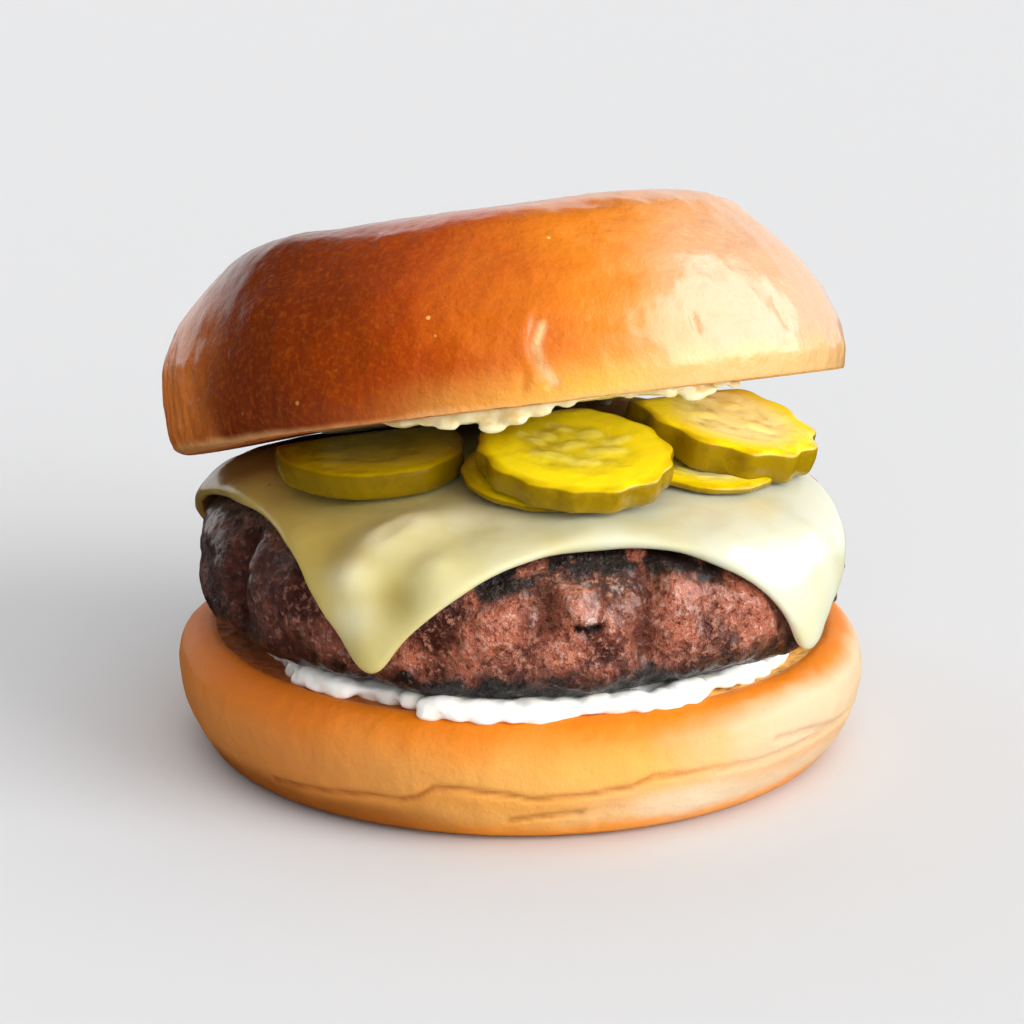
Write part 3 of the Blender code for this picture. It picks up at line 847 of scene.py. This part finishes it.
def make_seed(x, y, length, turn):
    """One seed half sunk in a slice's face, narrower at one end."""
    bpy.ops.object.select_all(action="DESELECT")
    bpy.ops.mesh.primitive_uv_sphere_add(segments=20, ring_count=12, radius=length)
    made = bpy.context.object
    with editing(made):
        bpy.ops.mesh.select_all(action="SELECT")
        bpy.ops.transform.resize(value=(1.0, 0.52, 0.14), center_override=(0, 0, 0))
        bpy.ops.mesh.select_all(action="DESELECT")
        cage = bmesh.from_edit_mesh(made.data)
        for vertex in cage.verts:
            vertex.select_set(vertex.co.x < -0.35 * length)
        bmesh.update_edit_mesh(made.data)
        bpy.ops.transform.resize(value=(1.0, 0.6, 0.7), center_override=(0, 0, 0))
    lay(made, (x, y, -0.1 * MM), (0.0, 0.0, turn))
    return made


def crinkle(piece, radius, warts, notch, number):
    """Pulls the rim in at the notches between its warts."""
    with editing(piece):
        for wart in range(warts):
            turn = math.tau * (wart + 0.5 * noise.noise(Vector((wart * 3.1, number, 0)))) / warts
            edge = Vector((math.cos(turn), math.sin(turn), 0))
            bpy.ops.mesh.select_mode(type="VERT")
            bpy.ops.mesh.select_all(action="DESELECT")
            cage = bmesh.from_edit_mesh(piece.data)
            for vertex in cage.verts:
                flat = Vector((vertex.co.x, vertex.co.y, 0))
                rim = flat.length > 0.9 * radius * MM
                vertex.select_set(rim and flat.normalized().dot(edge) > math.cos(math.pi / SIDES))
            bmesh.update_edit_mesh(piece.data)
            share = 1.0 - notch * (0.75 + 0.7 * noise.noise(Vector((wart * 1.3, 5.0 + number, 0))))
            bpy.ops.transform.resize(
                value=(share, share, 1), center_override=(0, 0, 0), use_proportional_edit=True,
                proportional_edit_falloff="SMOOTH", proportional_size=1.1 * math.pi * radius * MM / warts)


def make_slice(number, finish):
    """A pickle slice, modelled flat at the origin, then laid in its place and pressed down by the crown."""
    node, centre, tilt, r, t, warts, notch = SLICES[number]
    rings = [(r - 1.0, -t), (r - 0.3, -t + 0.35), (r, -0.6 * t), (r, -0.35 * t), (r - 0.15, -0.4), (r - 0.55, 0.0)]
    piece = turn_rings(node.replace("pickle", "slice"), rings)
    ring_end(piece, -t, (0.25 * r,))
    ring_end(piece, 0.0, (0.9, 0.22 * r, 0.2 * r))
    crinkle(piece, r, warts, notch, number)
    subdivide(piece, 1)
    ridges = []
    drops = []
    for x, y, length, turn in SEEDS.get(node, ()):
        drops.append(make_seed(x * r * MM, y * r * MM, length * r * MM, math.radians(turn)))
        ends = sorted((vertex.co.copy() for vertex in drops[-1].data.vertices), key=lambda p: (p.x, p.y))
        ridges.append((ends[0].lerp(ends[-1], 0.2), ends[0].lerp(ends[-1], 0.8)))
    if drops:
        join(piece, drops)
    modify(piece, "REMESH", mode="VOXEL", voxel_size=min(0.3, 0.22 * t) * MM)
    modify(piece, "SMOOTH", factor=0.5, iterations=5)
    core = weigh(piece, "core", lambda p: step(math.hypot(p.x, p.y), 0.66 * r * MM, 0.48 * r * MM)
                 * step(p.z, -1 * MM, 0))
    relief(piece, -0.3 * MM, where=core)
    relief(piece, 0.25 * MM, cloudy(0.0042, 1), core)
    relief(piece, 0.25 * MM, cloudy(0.0035, 1))

    def seed_here(point):
        """How near a point of the face is to the ridge of a seed."""
        nearest = 1.0
        for start, end in ridges if point.z > -0.8 * MM else ():
            way = end - start
            share = min(1.0, max(0.0, (point - start).dot(way) / way.dot(way)))
            nearest = min(nearest, (point - start - share * way).length)
        return math.exp(-((nearest / (1.3 * MM)) ** 2))

    paint(piece, "seed", seed_here)
    paint(piece, "skin", lambda p: step(-p.z, 0.1 * MM, 0.9 * MM))
    across = piece.data.uv_layers.new(name="across")
    for loop in piece.data.loops:
        point = piece.data.vertices[loop.vertex_index].co
        across.data[loop.index].uv = (point.x / (r * MM), point.y / (r * MM))
    lay(piece, Vector(centre) * MM, (math.radians(tilt[0]), math.radians(tilt[1]), 0.0))
    for vertex in piece.data.vertices:
        over = (height_on_crown(vertex.co) + CROWN_CLEARANCE) / CROWN_SOFTNESS
        pressed = over if over > 30 else math.log1p(math.exp(over))  # exp() would overflow far above the crown
        vertex.co -= CROWN_UP * CROWN_SOFTNESS * pressed
    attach(piece, "root")
    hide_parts(node)
    return dress(piece, "pickle_flesh", finish)


def dollops_at(low, high, gap, inset, rise, radius, start):
    """A row of dollops of uneven size between two directions."""
    made = []
    turn = low
    while turn < high:
        wobble = noise.noise(Vector((turn * 0.37, start, 0)))
        size = radius * (1.0 + 0.5 * wobble)
        made.append((turn, inset + 0.9 * wobble, rise + 0.5 * noise.noise(Vector((turn * 0.8, start + 4, 0))), size))
        turn += gap * (1.0 + 0.45 * noise.noise(Vector((turn * 0.21, start + 9, 0))))
    return made


make_crown()
make_heel()
cheese_tree = BVHTree.FromObject(make_cheese(), bpy.context.evaluated_depsgraph_get())
make_patty(cheese_tree)

cool_sauce = white_sauce("cool_sauce", tint(246, 242, 230), tint(252, 251, 247))
on_heel = dollops_at(-76, 66, 5.6, 2.3, 0.2, 2.1, 0) + dollops_at(-74, 64, 4.7, 1.4, -0.5, 1.3, 20)
make_sauce("sauce_on_heel", "sauce_lower", cool_sauce, on_heel, 0.45, 1.1)

# The sauce under the crown: the same sauce, painted darker and creamier as shade.
warm_sauce = white_sauce("warm_sauce", tint(214, 188, 122), tint(234, 222, 176))
make_sauce("sauce_on_crown", "sauce_upper", warm_sauce, SQUEEZED_OUT, 0.35, 0.4,
           drawn_back=lambda turn: 0.012 + 0.11 * step(turn, -20, -34) + 0.03 * step(turn, 45, 60),
           lift=CROWN_UP * 0.9 * MM)

flesh = pickle_slice()
for number in range(len(SLICES)):
    make_slice(number, flesh)


# Studio


# Suns that light the object: the way they shine from, the width of the sky they fill in degrees, and the strength.
SUNS = {
    "key": ((0.82, -0.46, 0.30), 44.0, 3.2),
    "front": ((0.26, -0.88, 0.44), 60.0, 1.7),
    "top": ((0.10, 0.25, 1.0), 90.0, 1.2),
    "rim": ((-0.75, 0.55, 0.35), 60.0, 0.3),
}

# What the glossy surfaces mirror: a window at the right and the pale wall behind, with place, width and height in
# metres and power in watts.
PANES = {
    "window": ((1.00, -0.04, 0.52), 1.35, 0.95, 20.0),
    "wall": ((0.0, 1.30, 0.22), 3.6, 0.8, 9.0),
}

WORLD_COLOUR = (1.0, 0.97, 0.93, 1.0)
WORLD_STRENGTH = 0.27
CAMERA_PLACE = (-0.0013, -0.5271, 0.1922)
CAMERA_DOWN = 16.6  # degrees below level
FOCAL_LENGTH = 126.8  # mm, on a sensor 36 mm wide


def shine_from(name, lamp, way):
    """Puts a lamp in the scene that shines from this direction to the origin."""
    light = bpy.data.objects.new(name, lamp)
    bpy.context.scene.collection.objects.link(light)
    light.rotation_euler = Vector(way).to_track_quat("Z", "Y").to_euler()
    return light


def studio():
    scene = bpy.context.scene
    scene.view_settings.view_transform = "Standard"

    bpy.ops.mesh.primitive_plane_add(size=8.0, location=(0, 1.0, 0))
    floor = bpy.context.object
    floor.name = "floor"
    f = Finish("studio_floor")
    f.colour = tint(213, 214, 216)
    floor.data.materials.append(f.done(0.9, Specular_IOR_Level=0.1))
    floor.visible_glossy = False

    for name, (way, spread, power) in SUNS.items():
        lamp = bpy.data.lights.new(name, "SUN")
        lamp.energy = power
        lamp.angle = math.radians(spread)
        shine_from(name, lamp, way).visible_glossy = False

    for name, (place, width, height, power) in PANES.items():
        lamp = bpy.data.lights.new(name, "AREA")
        lamp.shape = "RECTANGLE"
        lamp.size = width
        lamp.size_y = height
        lamp.energy = power
        pane = shine_from(name, lamp, place)
        pane.location = place
        pane.visible_diffuse = False
        pane.visible_camera = False

    world = bpy.data.worlds.new("studio")
    world.use_nodes = True
    background = world.node_tree.nodes["Background"]
    background.inputs["Color"].default_value = WORLD_COLOUR
    background.inputs["Strength"].default_value = WORLD_STRENGTH
    world.cycles_visibility.glossy = False
    scene.world = world

    lens = bpy.data.cameras.new("camera")
    lens.lens = FOCAL_LENGTH
    lens.sensor_width = 36.0
    camera = bpy.data.objects.new("camera", lens)
    scene.collection.objects.link(camera)
    camera.location = CAMERA_PLACE
    camera.rotation_euler = (math.radians(90 - CAMERA_DOWN), 0.0, 0.0)
    scene.camera = camera


studio()
